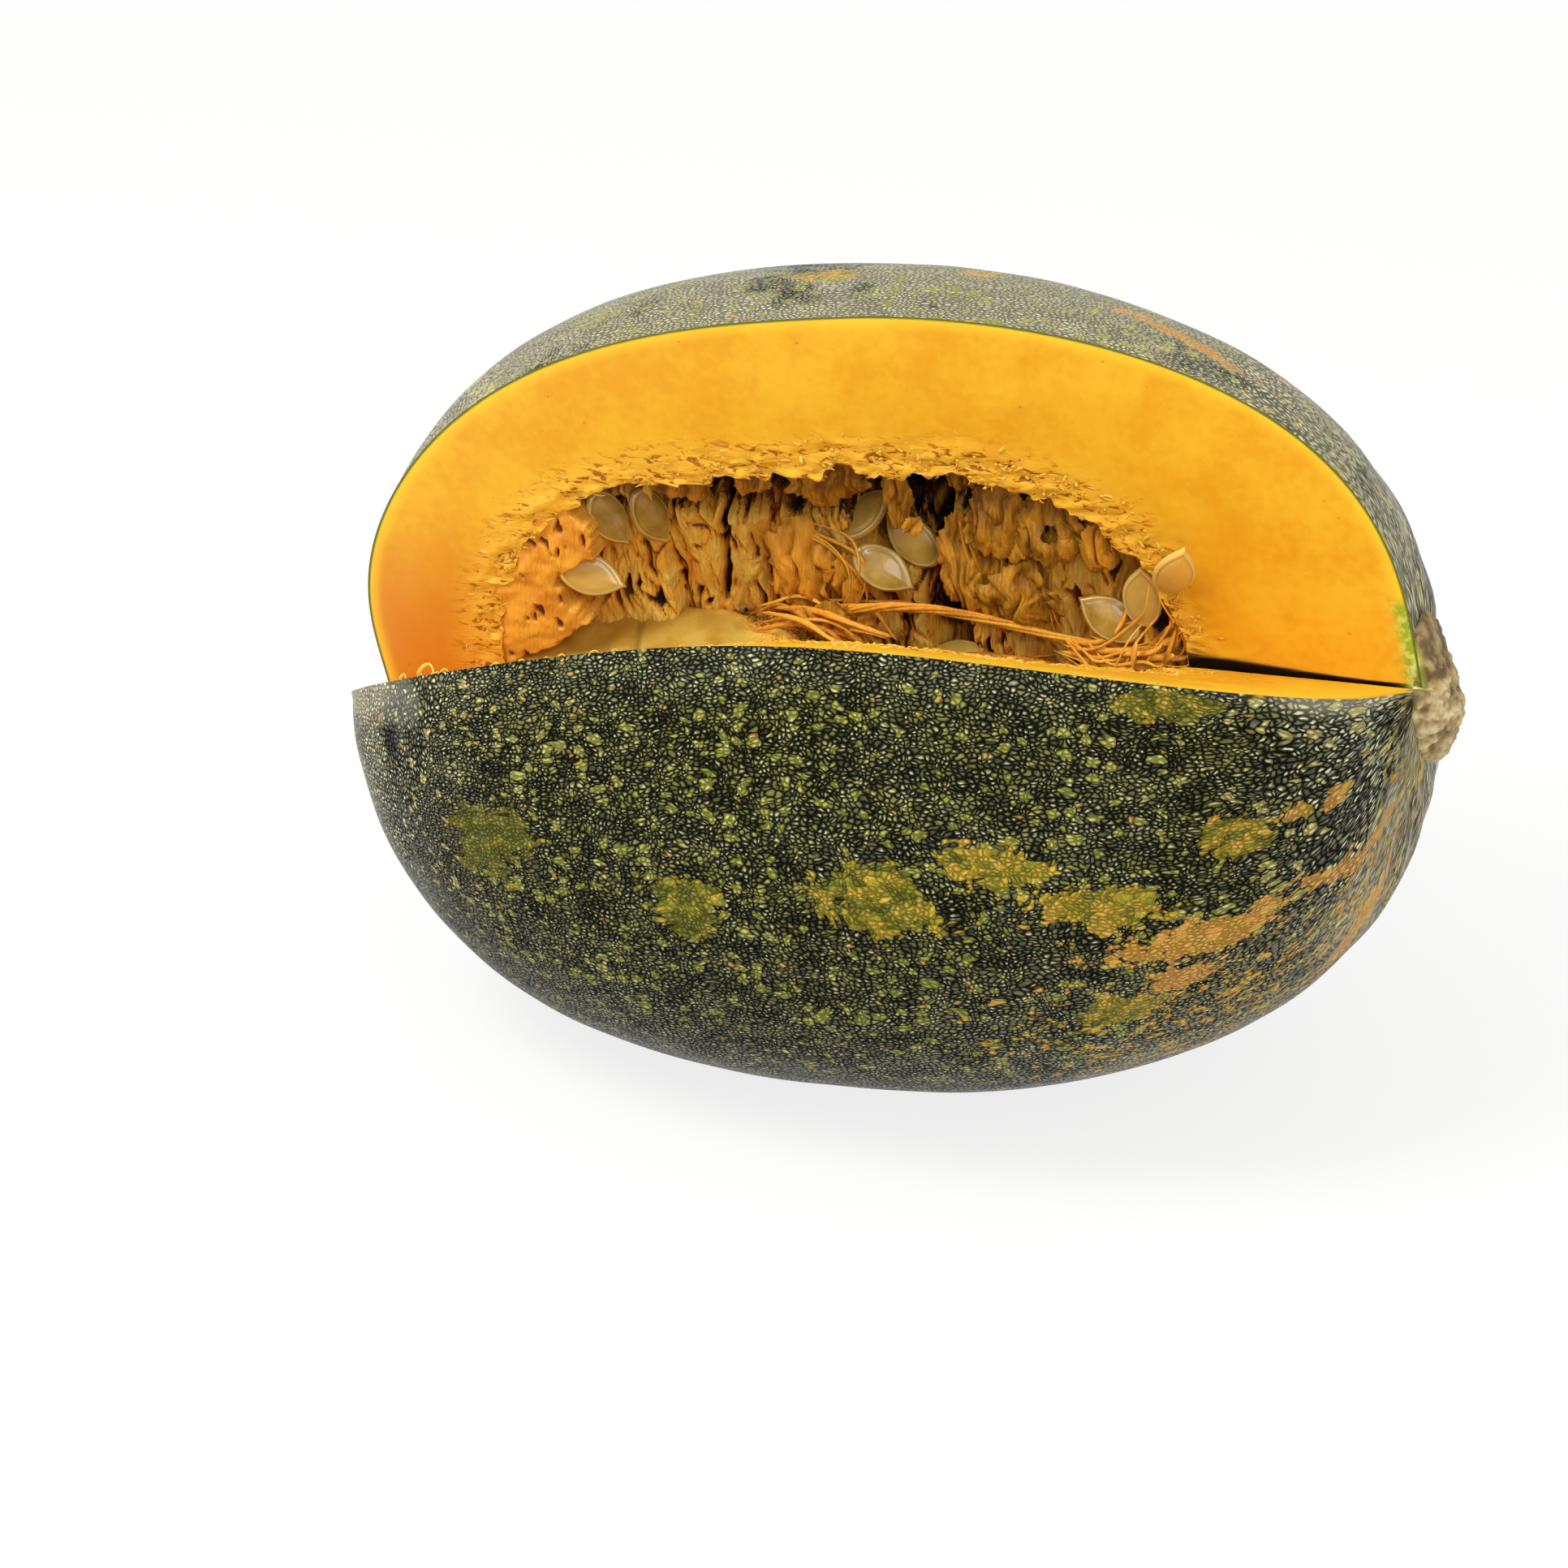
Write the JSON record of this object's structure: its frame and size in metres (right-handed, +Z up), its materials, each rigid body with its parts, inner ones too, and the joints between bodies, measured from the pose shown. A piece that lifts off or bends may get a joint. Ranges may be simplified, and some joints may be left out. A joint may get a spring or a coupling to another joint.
{
  "type": "cut calabaza squash",
  "caption": "Calabaza squash lying on its side, with a wedge-shaped slice cut out of it, open to the orange flesh, the stringy pulp and the seeds in its hollow.",
  "frame": {"origin": "centre of the box's underside, on the surface that the squash rests on", "axes": "+X along the squash towards its stem end, +Z up; the open cut faces -Y"},
  "size_m": [0.2695, 0.1962, 0.1953],
  "materials": {
    "rind_and_flesh": "waxy dark green rind with small pale spots; the cut faces are moist orange flesh",
    "stem_cork": "dry corky stem, green where it is cut",
    "pulp": "moist stringy orange pulp",
    "pulp_strand": "wet orange fibre",
    "seed_coat": "smooth moist cream seed coat"
  },
  "bodies": {
    "root": {"squash_body": "rind_and_flesh", "stem_stub": "stem_cork", "pulp_bed": "pulp", "pulp_blossom_end": "pulp", "pulp_curtain_blossom": "pulp", "pulp_curtain_stem": "pulp", "pulp_stem_end": "pulp", "crossing_strand": "pulp_strand", "seed_01": "seed_coat", "seed_02": "seed_coat", "seed_03": "seed_coat", "seed_04": "seed_coat", "seed_05": "seed_coat", "seed_06": "seed_coat", "seed_07": "seed_coat", "seed_08": "seed_coat", "seed_09": "seed_coat", "seed_10": "seed_coat", "seed_11": "seed_coat", "seed_12": "seed_coat", "seed_13": "seed_coat", "seed_14": "seed_coat", "seed_15": "seed_coat", "seed_16": "seed_coat", "seed_17": "seed_coat", "seed_18": "seed_coat", "seed_19": "seed_coat", "seed_20": "seed_coat", "seed_21": "seed_coat", "seed_22": "seed_coat", "seed_23": "seed_coat", "seed_24": "seed_coat"}
  },
  "joints": []
}
